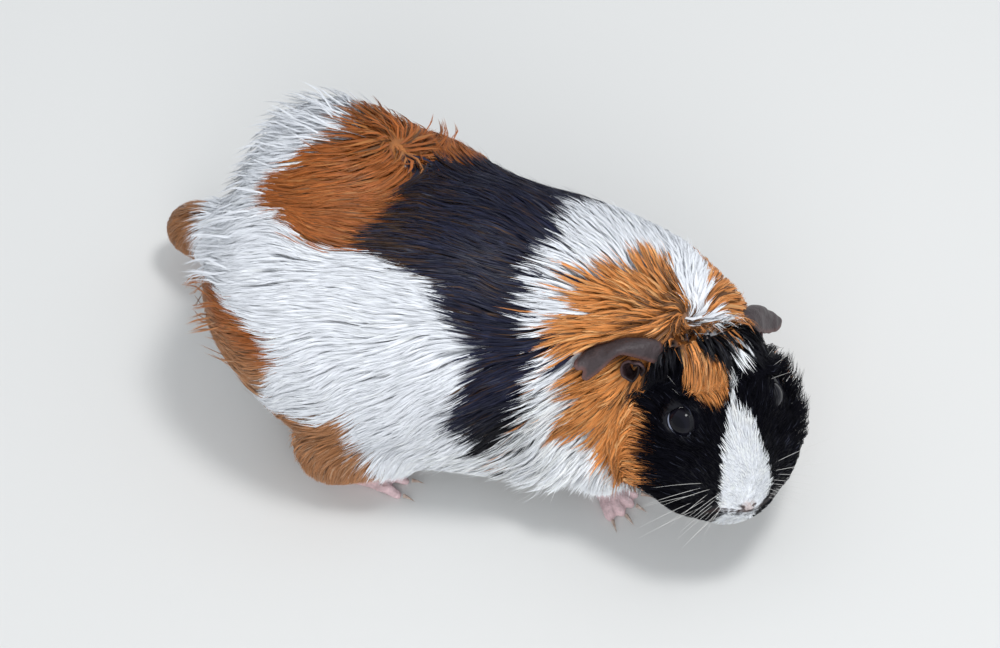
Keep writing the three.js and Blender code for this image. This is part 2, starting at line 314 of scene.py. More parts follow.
def make_hood(side):
    """The outer flap: a sheet across the rear, ridge and front lines, with a soft uneven surface."""
    bpy.ops.object.select_all(action="DESELECT")
    bpy.ops.mesh.primitive_grid_add(x_subdivisions=34, y_subdivisions=22, size=2)
    hood = bpy.context.object
    lines = ear_lines[side]
    flat = places_of(hood)
    across = flat[:, 1]
    end = 1 - 0.05 * np.abs(across) ** 5 - lines["notch"] * np.exp(-(((across - 0.2) / 0.28) ** 2))
    share = (flat[:, 0] + 1) / 2 * end
    rear, ridge, front = (along_line(lines[edge], share) for edge in ("rear", "ridge", "front"))
    across = across[:, None]
    sheet = rear * (across**2 - across) / 2 + ridge * (1 - across**2) + front * (across**2 + across) / 2
    places = np.array(skull) + sheet @ head_ways * mm
    places = places + crumple(places, 9, 1.1) * ramp(share, 0.1, 0.4)[:, None] + crumple(places, 3, 0.45)
    place_at(hood, places)
    ear_rims.append(places[np.abs(flat).max(1) > 0.99])
    finish_with(hood, "SOLIDIFY", thickness=ear_thickness * mm, offset=0)
    finish_with(hood, "SUBSURF", levels=1, render_levels=1)
    return hood


def make_cup(side):
    """The folded cup in the opening: a sheet rolled into a scroll, wide outside and narrow inside."""
    bpy.ops.object.select_all(action="DESELECT")
    bpy.ops.mesh.primitive_grid_add(x_subdivisions=48, y_subdivisions=8, size=2)
    cup = bpy.context.object
    flat = places_of(cup)
    turn = sides[side]
    wind, deep = (flat[:, 0] + 1) / 2, (flat[:, 1] + 1) / 2
    angle = np.radians(-170 + 470 * wind)
    wide = (4.3 - 2.6 * wind**1.5) * (1 - 0.5 * deep) * (1 + 0.13 * np.sin(3 * angle + 1))
    out = np.array((0.5, 0.72 * turn, 0.45))
    out /= np.linalg.norm(out)
    one = np.cross(out, (0.0, 0.0, 1.0))
    one /= np.linalg.norm(one)
    two = np.cross(out, one)
    depth = -0.4 + 5.0 * deep + 2.2 * wind + 0.7 * np.sin(2 * angle + 1)
    sheet = (
        np.array(ear_lines[side]["cup"])
        + (wide * np.cos(angle))[:, None] * one
        + (1.2 * wide * np.sin(angle))[:, None] * two
        - depth[:, None] * out
    )
    places = np.array(skull) + sheet @ head_ways * mm
    place_at(cup, places + crumple(places, 2.5, 0.75))
    finish_with(cup, "SOLIDIFY", thickness=0.9 * mm, offset=0)
    finish_with(cup, "SUBSURF", levels=1, render_levels=1)
    return cup


hoods = [make_hood(side) for side in sides]
cups = [make_cup(side) for side in sides]

# ------------------------------------------------------------------ eyelids
# A soft lid runs all round each eye. Its rim lies on the eyeball round an almond-shaped opening, with one
# fold above. Each opening faces its own way: forward, left and up.
eye_openings = {"right": (0.04, -0.80, 0.60), "left": (0.06, 0.85, 0.52)}
lid_glint_rims, lid_edges = [], []


def make_lid(side):
    """A torus laid over the eyeball: its inner side is the rim, and its outer side sinks into the skin."""
    centre = np.array(middle_of(f"eye_{side}"))
    low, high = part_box(f"eye_{side}")
    radius = (high.x - low.x) / 2 / mm
    out = np.array(eye_openings[side])
    out /= np.linalg.norm(out)
    long = np.array((1.0, 0.0, -0.12))
    long -= long @ out * out
    long /= np.linalg.norm(long)
    short = np.cross(out, long)
    short *= np.sign(short[2])
    bpy.ops.object.select_all(action="DESELECT")
    bpy.ops.mesh.primitive_torus_add(major_segments=72, minor_segments=28, major_radius=1, minor_radius=0.25)
    lid = bpy.context.object
    ring = places_of(lid)
    around = np.arctan2(ring[:, 1], ring[:, 0])
    section = np.arctan2(ring[:, 2], np.hypot(ring[:, 0], ring[:, 1]) - 1)
    inward = np.abs(section) / math.pi
    top = section > 0
    half_long, half_short = 0.96, 0.62 + 0.04 * np.sin(around)
    opening = np.arcsin(1 / np.sqrt((np.cos(around) / half_long) ** 2 + (np.sin(around) / half_short) ** 2))
    angle = opening + (1 - inward) * (math.radians(88) - opening)
    past = np.degrees(angle - opening)
    rim = 1 - (1 - np.clip(past / 7, 0, 1)) ** 2
    above = np.sin(around)
    fold = 0.3 * np.exp(-(((past - 17) / 4) ** 2)) * ramp(above, 0, 0.6)
    fold = fold - 0.2 * np.exp(-(((past - 11) / 3) ** 2)) * ramp(above, 0, 0.6)
    reach = np.where(top, radius - 0.2 + 0.55 * rim - 1.4 * ramp(past, 10, 36) + fold, radius - 1.0)
    way = (
        np.cos(angle)[:, None] * out
        + (np.sin(angle) * np.cos(around))[:, None] * long
        + (np.sin(angle) * np.sin(around))[:, None] * short
    )
    places = centre + (way * reach[:, None]) @ head_ways * mm
    place_at(lid, places)
    # The lower rim is kept for a pale blue-grey colour: the lid's wet rim, partly a painted reflection.
    lid_glint_rims.append(places[top & (past < 5) & (above < 0.35)])
    lid_edges.append(places[past < 6])
    bpy.ops.object.mode_set(mode="EDIT")
    bpy.ops.mesh.select_all(action="SELECT")
    bpy.ops.mesh.normals_make_consistent(inside=False)
    bpy.ops.object.mode_set(mode="OBJECT")
    return lid


lids = [make_lid(side) for side in sides]

# ------------------------------------------------------------------ feet
# Bare pink feet: a soft sole and slim toes, each with its pads, made from the solids of the feet.
feet = [copy_of_node(n) for n in foot_nodes]
for foot in feet:
    remesh(foot, 0.65 * mm, 3)
    place_at(foot, places_of(foot) - normals_of(foot) * (0.45, 0.45, 0.15) * mm)

# ------------------------------------------------------------------ nose and mouth
# Two small slanting nostrils either side of a bare pad, and the line of the split upper lip below, are cut
# into the skin. Each line's places are forward, left and up.
def on_skin(place):
    """The nearest place on the skin, and the skin's direction there."""
    found, spot, normal, face = skin.closest_point_on_mesh(Vector(place))
    return np.array(spot), np.array(normal)


def towards(vectors):
    """The same directions, each with a length of 1."""
    return vectors / np.maximum(np.linalg.norm(vectors, axis=-1, keepdims=True), 1e-9)


def cut_into_skin(line, tall, deep):
    """Cuts a groove that follows a line of places near the skin and thins out towards both ends."""
    bpy.ops.object.select_all(action="DESELECT")
    bpy.ops.mesh.primitive_uv_sphere_add(segments=12, ring_count=28, radius=1)
    cutter = bpy.context.object
    ball = places_of(cutter)
    spots = [on_skin(on_head(*p)) for p in along_line(line, (ball[:, 2] + 1) / 2).tolist()]
    spot, normal = (np.array(part) for part in zip(*spots))
    along = towards(np.array(on_head(*line[-1])) - np.array(on_head(*line[0])))
    across = np.cross(normal, along)
    place_at(cutter, spot + (ball[:, :1] * deep * normal + ball[:, 1:2] * tall * across) * mm)
    finish_with(skin, "BOOLEAN", operation="DIFFERENCE", solver="EXACT", object=cutter)
    places = places_of(cutter)
    bpy.data.objects.remove(cutter)
    return places


lip_right = ((40.5, -14, -7), (42.5, -11.5, -3.6), (44.5, -8, -2.2), (46, -4, -2), (46.5, 0, -2.4))
lip_left = ((46.5, -2, -2.4), (46.2, 2, -2.2), (45, 6, -2.6), (43, 10, -4.2), (41, 13, -7))
nostril_right = ((46, -5.2, 1.0), (46, -4.7, 0.7), (46, -4.3, 0.3), (46, -4.0, -0.1), (46, -4.1, -0.5))
nostril_left = ((46, 1.2, 1.0), (46, 0.7, 0.7), (46, 0.3, 0.3), (46, 0.0, -0.1), (46, 0.1, -0.5))
openings = [cut_into_skin(line, 0.5, 1.5) for line in (lip_right, lip_left)]
openings += [cut_into_skin(line, 0.45, 1.0) for line in (nostril_right, nostril_left)]
opening_verts = np.concatenate(openings)

# ------------------------------------------------------------------ skin
# One skin over the flesh, the ears, the eyelids and the feet.
ear_verts = np.concatenate([places_of(ear) for ear in hoods + cups])
cup_verts = np.concatenate([places_of(cup) for cup in cups])
lid_verts = np.concatenate([places_of(lid) for lid in lids])
foot_verts = np.concatenate([places_of(foot) for foot in feet])
for part in hoods + cups + lids + feet:
    finish_with(skin, "BOOLEAN", operation="UNION", solver="EXACT", object=part)
    bpy.data.objects.remove(part)
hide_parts("trunk", "neck", "head", "ear_left", "ear_right", *limbs)
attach(skin, "root")
pick(skin)
bpy.ops.object.shade_smooth()

# ------------------------------------------------------------------ markings
# The coat is white, black and ginger. Round the body a border is drawn by the distance behind the middle and
# the angle about the spine, 0 on top and negative to the right. On the head it goes by forward, left and up.
def edge(at, points):
    """A border line through a few (place, value) points."""
    x, y = zip(*points)
    return np.interp(at, x, y)


def within(x, low, high, soft=0.8):
    """1 between two borders, 0 outside them."""
    return ramp(x, low - soft, low + soft) * ramp(-x, -high - soft, -high + soft)


def head_side(l, u):
    """How far back the black of the face reaches: by height, further on the left and low on the right."""
    reach = edge(u, ((-34, 44), (-20, 32), (-13, 24), (-6, 15), (-2, 6), (0, -3), (6, -9), (16, -13)))
    reach = reach - 16 * ramp(l, 12, 24) * ramp(reach, -6, 4) - 8 * ramp(l, 22, 28)
    return reach - 8 * ramp(-l, 8, 14) * ramp(-u, 12, 17)


def past_hairline(f, l, u):
    """How far places are in front of the rear border of the face's black, in millimetres."""
    crown = edge(
        l, ((-34, -10), (-27, -12), (-16, -14), (-13, -13), (4, -5), (9, -7), (14, -11), (24, -15), (34, -19))
    )
    return f - np.maximum(crown, head_side(l, u))


rosette_place = (26, 34, 101)


def marking(places):
    """Shares of black and ginger, and of ticked hair, at places on the outer form of the coat."""
    x, y, z = (places / mm).T
    f, l, u = head_places(places).T
    turn = np.degrees(np.arctan2(x, z - 50))
    saddle_rear = edge(
        turn,
        ((-130, 2), (-104, -12), (-97, -8), (-91, -3), (-82, -5), (-71, -8), (-55, -9), (-43, -3), (-35, 1))
        + ((-29, 7), (-22, 19), (-18, 33), (-10, 35), (-1, 29), (8, 24), (20, 27), (34, 16), (47, 4), (80, 2))
        + ((130, 8),),
    )
    saddle_front = edge(
        turn,
        ((-112, -16), (-104, -22), (-91, -25), (-77, -28), (-52, -32), (-36, -26), (-17, -24), (3, -30))
        + ((19, -30), (37, -32), (50, -40), (80, -42), (130, -36)),
    )
    black = within(y, saddle_front, saddle_rear) * ramp(z, 8, 16) * ramp(turn, -112, -106)

    rump_low = edge(y, ((20, -20), (33, -19), (55, -17), (61, -9), (72, 2), (80, 10), (110, 14)))
    hip_white = edge(
        turn, ((-20, 82), (2, 75), (15, 70), (20, 62), (25, 55), (35, 52), (50, 48), (70, 43), (130, 22))
    )
    rump = ramp(y - saddle_rear, -0.8, 0.8) * ramp(turn - rump_low, -1.5, 1.5) * ramp(hip_white - y, -1, 1)
    rump = rump * ramp(-turn, -84, -78)
    rump = np.maximum(rump, ramp(-np.linalg.norm(places / mm - rosette_place, axis=1), -11, -9))
    seat = edge(
        turn,
        ((-150, 78), (-120, 70), (-97, 63), (-85, 60), (-74, 57), (-67, 59), (-59, 72), (-50, 80), (-40, 92)),
    )
    seat = ramp(y - seat, -1, 1) * ramp(-turn, 45, 52) * ramp(z, 20, 28)
    thigh = edge(y, ((18, -122), (24, -111), (30, -100), (33, -91), (40, -95), (48, -101), (60, -108)))
    thigh = ramp(thigh - turn, -1.5, 1.5) * within(y, 21, 62, 2) * ramp(-x, 8, 12)
    heel = ramp(y, 106, 111)
    neck_rear = edge(
        turn,
        ((-103, -37), (-92, -40), (-83, -42), (-70, -42), (-63, -39), (-53, -43), (-48, -32), (-42, -30))
        + ((-34, -34), (-28, -42), (-20, -37), (-9, -34), (0, -47), (16, -55), (23, -59), (29, -65))
        + ((60, -72),),
    )
    shoulder = edge(y, ((-70, -112), (-61, -110), (-56, -104), (-49, -99), (-37, -102)))
    neck = ramp(neck_rear - y, -1, 1) * ramp(turn - shoulder, -1.5, 1.5)
    stripe_right = edge(f, ((-52, 0), (-34, 0), (-27, -3), (-20, -1), (-14, 4)))
    stripe_left = edge(f, ((-52, 19), (-42, 18), (-34, 13), (-26, 10), (-20, 9), (-12, 12)))
    neck = neck * (1 - within(l, stripe_right, stripe_left, 1) * ramp(u, -6, 0) * ramp(-f, 11, 14))
    neck = np.maximum(neck, ramp(-np.hypot(f + 20, l + 6), -7, -5) * ramp(u, 4, 8))
    ginger = np.maximum.reduce([rump, seat, thigh, heel, neck])

    cheeks = ramp(-np.abs(l) + 8 * ramp(u, -14, -6), -37, -34)
    face = ramp(past_hairline(f, l, u), -1, 1) * cheeks * ramp(u, -34, -30)
    blaze_right = edge(
        f, ((-4, 7), (-1, 4), (1, 2), (3, 0), (7, -2), (15, -5), (20, -7), (26, -9.5), (41, -12), (48, -12))
    )
    blaze_left = edge(
        f,
        ((-4, 10), (-1, 9), (1, 7), (4, 0), (7, -1), (12, -2), (15, 0), (19, 4), (27, 5), (34, 8), (39, 10))
        + ((48, 2),),
    )
    blaze = within(l, blaze_right, blaze_left) * ramp(f, -4, -3) * ramp(u, -4, -2.5)
    lip = within(l, -11, 3) * ramp(f, 36, 39) * within(u, -16, -4)
    tuft_right = edge(f, ((-16, -14), (-5, -15), (2, -16), (8, -14), (13, -9)))
    tuft_left = edge(f, ((-16, -9), (-8, -11), (-3, -9), (1, -4), (4, -2), (9, -4), (13, -8)))
    tuft = within(l, tuft_right, tuft_left) * within(f, -17, 13) * ramp(u, 4, 8)
    tuft = np.maximum(tuft, ramp(-np.hypot(f + 15, l + 4), -5.5, -4) * ramp(u, 4, 8))
    ticked = within(l, edge(f, ((-20, -3), (-8, -10), (-2, -8))), edge(f, ((-20, 9), (-12, 8), (-6, 1))))
    ticked = ticked * within(f, -18, -8) * ramp(u, 6, 10) * (1 - tuft)
    ticked = np.maximum(ticked, 0.35 * within(y, saddle_front - 9, saddle_front, 1.5) * ramp(-turn, -10, 20))
    white = np.maximum(blaze, lip)
    black = np.maximum(black * (1 - ginger * (y > 0)), face * (1 - white)) * (1 - tuft) * (1 - ticked)
    ginger = np.maximum(ginger * (1 - face), tuft) * (1 - ticked)
    return black, ginger, ticked


# ------------------------------------------------------------------ lie of the coat
# Hair lies outward from a whorl on the crown and backward over the trunk, down the flanks, back from the nose
# over the face, and outward from a rosette on the left hip.
def under_the_coat(place, depth):
    """The skin's place that is seen at a place on the coat."""
    return np.array(place) - np.array(camera_back) * depth * mm


whorl = under_the_coat(on_head(-20, -6, 17), 7)
rosette = under_the_coat(Vector(rosette_place) * mm, 10)
crowns = (whorl, rosette)


def close_to(places, spot, reach):
    """1 at a spot, and less around it over a reach in millimetres."""
    return np.exp(-((np.linalg.norm(places - spot, axis=1) / mm / reach) ** 2))


def outward(places, normals, crown, reach):
    """Away from the middle of a whorl, with a turn near it."""
    away = places - crown
    return towards(away + 1.6 * (np.cross(normals, away) * close_to(places, crown, reach)[:, None]))


def lie(places, normals):
    """The way that hair lies at places on the skin, along the skin."""
    x, y, z = (places / mm).T
    f, l, u = head_places(places).T
    reach = np.linalg.norm(places - whorl, axis=1) / mm
    way = outward(places, normals, whorl, 7) + np.array((0, 0.8, 0)) * ramp(reach, 30, 80)[:, None]
    way = way + np.array((0, 0.1, -1.1)) * (ramp(np.abs(x), 26, 50) * ramp(reach, 35, 65))[:, None]
    way = way + np.array((0, -0.2, -1.0)) * ramp(y, 70, 100)[:, None]
    near = close_to(places, rosette, 24)[:, None]
    way = way * (1 - 0.6 * near) + 2.4 * outward(places, normals, rosette, 8) * near
    back = -np.array(forward) + 0.02 * l[:, None] * np.array(leftward) - 0.1 * np.array(upward)
    back = back - 0.8 * np.array(upward) * ramp(np.abs(l), 12, 28)[:, None] * ramp(-u, -14, 0)[:, None]
    on_face = ramp(f, 0, 12) * ramp(u, -40, -34)
    on_face = np.maximum(on_face, ramp(f, -8, 2) * ramp(np.abs(l - 3), 16, 21))
    on_face = on_face * ramp(f - head_side(l, u), -8, 0)
    way = way + (back - way) * on_face[:, None]
    down = np.array((0, 0.2, -1))
    way = way + (down - way) * ramp(-from_paw(places), -34, -20)[:, None]
    swirl = np.array([noise.noise_vector(Vector(p) * 75) for p in places])
    way = towards(way) + swirl * (0.42 * (1 - 0.6 * on_face))[:, None]
    return towards(way - (way * normals).sum(1, keepdims=True) * normals)


def on_jaw(f, l, u):
    """Where the fur is fullest, low on the right cheek."""
    return ramp(-l, 11, 18) * ramp(-u, 2, 10) * within(f, 18, 44, 4)


def hair_length(places):
    """Length of the coat in millimetres."""
    f, l, u = head_places(places).T
    on_face = ramp(past_hairline(f, l, u), -6, 8) * ramp(u, -40, -34)
    face = 2.0 + 7 * ramp(-f, -44, 4) + 6 * ramp(np.abs(l), 16, 30) + 3 * ramp(-u, 0, 14) * ramp(-f, -40, -28)
    face = face + 6 * on_jaw(f, l, u)
    body = 20 - 5 * ramp(-places[:, 1] / mm, 25, 60)
    for crown in crowns:
        body = body * (1 - 0.5 * close_to(places, crown, 9))
    length = body + (face - body) * on_face
    return 2.5 + (length - 2.5) * ramp(from_paw(places), 8, 36)


# ------------------------------------------------------------------ skin finish
# Under the coat the skin is tinted like its hair, a little darker as painted shade. The ears and feet are
# bare.
skin_places = places_of(skin)
skin_normals = normals_of(skin)
skin_lie = lie(skin_places, skin_normals)
seen = skin_places + skin_normals * coat_depth(skin_places)[:, None] * 0.8
seen = seen + skin_lie * hair_length(skin_places)[:, None] * 0.4 * mm
black, ginger, ticked = marking(seen)
white_hair = np.array([0.88, 0.905, 0.955])
# Black hair is near black, with a blue tint that is painted sheen.
black_hair_and_sheen = np.array([0.017, 0.019, 0.043])
face_black = np.array([0.004, 0.004, 0.007])
ginger_hair = np.array([0.75, 0.28, 0.074])
red_hair = np.array([0.42, 0.118, 0.022])
tan_hair = np.array([0.50, 0.22, 0.09])
# Under white and ginger hair the skin is painted darker than the hair, as shade under the coat.
tint = white_hair * 0.9 + (ginger_hair * 0.7 - white_hair * 0.9) * ginger[:, None]
on_face = ramp(head_places(skin_places)[:, 0], -22, -10)[:, None]
tint = tint + (black_hair_and_sheen + (face_black - black_hair_and_sheen) * on_face - tint) * black[:, None]
for crown, colour in ((whorl, (0.16, 0.075, 0.03)), (rosette, (0.2, 0.072, 0.026))):
    tint = tint + (np.array(colour) - tint) * close_to(skin_places, crown, 6)[:, None]


def tree_of(points):
    tree = KDTree(len(points))
    for i, p in enumerate(points):
        tree.insert(p, i)
    tree.balance()
    return tree


def near_any(places, parts):
    """How far places are from the nearest of many places, in millimetres."""
    tree = tree_of(parts)
    return np.array([tree.find(p)[2] for p in places]) / mm


from_ear = near_any(skin_places, ear_verts)
from_foot = near_any(skin_places, foot_verts)
from_opening = near_any(skin_places, opening_verts)
cup_mouths = np.array([on_head(*ear_lines[side]["cup"]) for side in sides])
cup_floors = cup_mouths - np.array([2.5 * sides[side] * leftward * mm for side in sides])
cup_depth = np.linalg.norm(skin_places[:, None] - cup_floors[None], axis=2).min(1) / mm
nose_pad = np.linalg.norm(head_places(skin_places) - (46, -2, 0), axis=1)
from_rim = near_any(skin_places, np.concatenate(ear_rims))
bare_parts = (
    ("ear", (0.066, 0.050, 0.053), ramp(-from_ear, -0.8, -0.1)),
    ("ear rim", (0.15, 0.070, 0.062), 0.7 * ramp(-from_rim, -2.0, -0.6)),
    ("cup", (0.075, 0.042, 0.045), ramp(-near_any(skin_places, cup_verts), -0.8, -0.1)),
    # The deep floor of each ear's cup is painted near black, as shade in the hollow.
    ("cup floor", (0.018, 0.010, 0.011), ramp(-cup_depth, -5.4, -4.0)),
    ("eyelid", (0.006, 0.006, 0.009), ramp(-near_any(skin_places, lid_verts), -0.5, -0.1)),
    # The lower eyelid rim is pale blue-grey: its own wet rim, and partly a painted reflection of the sky.
    ("eyelid rim", (0.24, 0.26, 0.34), ramp(-near_any(skin_places, np.concatenate(lid_glint_rims)), -0.3, -0.1)),
    ("nose pad", (0.62, 0.47, 0.44), 0.7 * ramp(-nose_pad, -3.6, -2.2)),
    # The cut nostrils and mouth line are painted dark, as shade in the grooves.
    ("nostrils and mouth", (0.03, 0.015, 0.015), ramp(-from_opening, -0.5, -0.1)),
    ("feet", (0.74, 0.54, 0.56), ramp(-from_foot, -0.8, -0.1)),
)
for part, colour, share in bare_parts:
    tint = tint + (np.array(colour) - tint) * share[:, None]
shade = skin.data.color_attributes.new("tint", "FLOAT_COLOR", "POINT")
shade.data.foreach_set("color", np.append(tint, np.ones((len(tint), 1)), 1).astype(np.float32).ravel())


def add_node(nodes_of, kind, **inputs):
    """Adds a shader node and sets some of its inputs."""
    added = nodes_of.new("ShaderNode" + kind)
    for key, value in inputs.items():
        added.inputs[key.replace("_", " ")].default_value = value
    return added


def tinted_finish(name, layer, roughness, gloss, grain, uneven):
    """A finish in a mesh's own colours, from one of its layers, made a little uneven by fine noise."""
    finish, nodes_of, shader, link = new_finish(name, roughness, gloss)
    tint = add_node(nodes_of, "VertexColor")
    tint.layer_name = layer
    place = add_node(nodes_of, "TexCoord")
    mottle = add_node(nodes_of, "TexNoise", Scale=260, **grain)
    spread = add_node(nodes_of, "MapRange", **uneven)
    scaled = add_node(nodes_of, "VectorMath")
    scaled.operation = "SCALE"
    link(place.outputs["Object"], mottle.inputs["Vector"])
    link(mottle.outputs["Fac"], spread.inputs["Value"])
    link(tint.outputs["Color"], scaled.inputs[0])
    link(spread.outputs["Result"], scaled.inputs["Scale"])
    link(scaled.outputs["Vector"], shader.inputs["Base Color"])
    return finish, nodes_of, shader, link, place


def add_bump(nodes_of, shader, link, height, strength, distance):
    bump = add_node(nodes_of, "Bump", Strength=strength, Distance=distance)
    link(height, bump.inputs["Height"])
    link(bump.outputs["Normal"], shader.inputs["Normal"])


skin_finish, nodes_of, shader, link, place = tinted_finish(
    "skin_finish", "tint", 0.48, 0.3, {"Detail": 8, "Roughness": 0.65},
    {"From_Min": 0.3, "From_Max": 0.7, "To_Min": 0.62, "To_Max": 1.2},
)
creases = add_node(nodes_of, "TexVoronoi", Scale=1100)
link(place.outputs["Object"], creases.inputs["Vector"])
add_bump(nodes_of, shader, link, creases.outputs["Distance"], 0.35, 0.0004)
skin.data.materials.clear()
skin.data.materials.append(skin_finish)

# ------------------------------------------------------------------ eyes
# Dark, moist, bulging eyes: smooth balls with a black pupil that fills most of a very dark iris.
iris_stops = (
    (0.0, (0.001, 0.001, 0.003, 1)),
    (0.55, (0.002, 0.002, 0.005, 1)),
    (0.65, (0.005, 0.005, 0.010, 1)),
    (0.95, (0.008, 0.007, 0.011, 1)),
)
for side in sides:
    centre = middle_of(f"eye_{side}")
    low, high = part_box(f"eye_{side}")
    radius = (high.x - low.x) / 2
    bpy.ops.object.select_all(action="DESELECT")
    bpy.ops.mesh.primitive_uv_sphere_add(segments=48, ring_count=32, radius=radius, location=centre)
    eye = bpy.context.object
    eye.name = f"eyeball_{side}"
    bpy.ops.object.transform_apply(location=True, rotation=True, scale=True)
    bpy.ops.object.shade_smooth()
    eye_finish, nodes_of, shader, link = new_finish(f"eye_finish_{side}", 0.05, 0.2)
    pupil = centre + (0.9 * sides[side] * leftward + 0.25 * forward + 0.3 * upward).normalized() * radius
    place = add_node(nodes_of, "TexCoord")
    centred = add_node(nodes_of, "Mapping", Location=-pupil)
    reach = add_node(nodes_of, "VectorMath")
    reach.operation = "LENGTH"
    spread = add_node(nodes_of, "MapRange", From_Max=0.006)
    iris = add_node(nodes_of, "ValToRGB")
    stops = iris.color_ramp.elements
    for at, colour in iris_stops[1:-1]:
        stops.new(at)
    for stop, (at, colour) in zip(stops, iris_stops):
        stop.position = at
        stop.color = colour
    link(place.outputs["Object"], centred.inputs["Vector"])
    link(centred.outputs["Vector"], reach.inputs[0])
    link(reach.outputs["Value"], spread.inputs["Value"])
    link(spread.outputs["Result"], iris.inputs["Fac"])
    link(iris.outputs["Color"], shader.inputs["Base Color"])
    eye.data.materials.append(eye_finish)
    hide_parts(f"eye_{side}")
    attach(eye, "root")

# ------------------------------------------------------------------ coat
# Thin closed locks of hair, flat on top, with a keel below, and tapered to a point. Each starts in the skin
# and follows it at the coat's depth, and neighbours draw together into clumps at their tips.
chance = np.random.default_rng(7)
bare_ear = ear_verts[np.abs(head_places(ear_verts)[:, 1]) > 23]
bare = np.minimum.reduce(
    [
        near_any(skin_places, bare_ear),
        from_foot,
        from_opening * 2.5,
        1.6 * near_any(skin_places, np.concatenate(lid_edges)),
    ]
)
body_ids = np.where((from_ear > 0.6) & (from_foot > 0.3))[0]
skin_tree = tree_of(skin_places[body_ids])


def nearest(places):
    """The nearest points of the skin, away from the ears and feet."""
    return body_ids[[skin_tree.find(p)[1] for p in places]]


skin.data.calc_loop_triangles()
skin_corners = np.empty(len(skin.data.loop_triangles) * 3, np.int32)
skin.data.loop_triangles.foreach_get("vertices", skin_corners)
skin_corners = skin_corners.reshape(-1, 3)
pick(skin)
bpy.ops.object.mode_set(mode="EDIT")
bpy.ops.mesh.select_all(action="SELECT")
bpy.ops.uv.smart_project(angle_limit=math.radians(66), island_margin=0.002)
bpy.ops.object.mode_set(mode="OBJECT")
skin_uv = np.empty(len(skin.data.loops) * 2, np.float32)
skin.data.uv_layers.active.uv.foreach_get("vector", skin_uv)
loops = np.empty(len(skin_corners) * 3, np.int32)
skin.data.loop_triangles.foreach_get("loops", loops)
skin_uv = skin_uv.reshape(-1, 2)[loops].reshape(-1, 3, 2)


def scatter(wanted, where):
    """Roots spread over the skin: wanted gives how many there are on each square millimetre."""
    a, b, c = (skin_places[skin_corners[:, k]] for k in range(3))
    area = 0.5 * np.linalg.norm(np.cross(b - a, c - a), axis=1) / mm**2
    expected = area * wanted((a + b + c) / 3) * where[skin_corners].all(1)
    count = np.floor(expected + chance.random(len(expected))).astype(int)
    face = np.repeat(np.arange(len(area)), count)
    p, q = chance.random((2, len(face)))
    p, q = np.where(p + q > 1, 1 - p, p), np.where(p + q > 1, 1 - q, q)
    shares = np.stack([1 - p - q, p, q], 1)[:, :, None]
    place = (shares * skin_places[skin_corners[face]]).sum(1)
    normal = towards((shares * skin_normals[skin_corners[face]]).sum(1))
    return place, normal, (shares * skin_uv[face]).sum(1)


def comb(roots, length, height, steps, stray, bow):
    """The line that a hair takes: along the lie of the coat, while it rises to its height."""
    line = [roots]
    place = roots
    for k in range(1, steps + 1):
        i = nearest(place)
        place = place + towards(skin_lie[i] + stray) * (length / steps)[:, None]
        i = nearest(place)
        rise = 1 - (1 - k / steps) ** bow
        above = ((place - skin_places[i]) * skin_normals[i]).sum(1)
        place = place + skin_normals[i] * (height * rise - above)[:, None]
        line.append(place)
    line = np.stack(line, 1)
    line[:, 0] -= skin_normals[nearest(roots)] * 0.3 * mm
    return line


def from_crowns(places):
    """How far places are from the nearer whorl's middle, in millimetres."""
    return np.min([np.linalg.norm(places - crown, axis=1) for crown in crowns], axis=0) / mm


def draw_together(line, roots, size, strength):
    """Draws hairs towards the middle hair of their clump, more towards their tips."""
    n, steps = line.shape[0], line.shape[1] - 1
    heads = chance.choice(n, max(n // size, 1), replace=False)
    clumps = tree_of(roots[heads])
    mine = np.array([clumps.find(p)[1] for p in roots])
    pull = chance.uniform(0.5, 1.0, len(heads))[mine] * strength * np.where(chance.random(n) < 0.1, 0.1, 1)
    pull = pull * (1 - np.exp(-((from_crowns(roots) / 10) ** 2)))
    pull = pull[:, None, None] * (np.arange(steps + 1) / steps)[None, :, None] ** 1.2
    guide = line[heads[mine]]
    return line + (guide - line) * pull, mine


bake_patch = 0.003
keel = 0.45


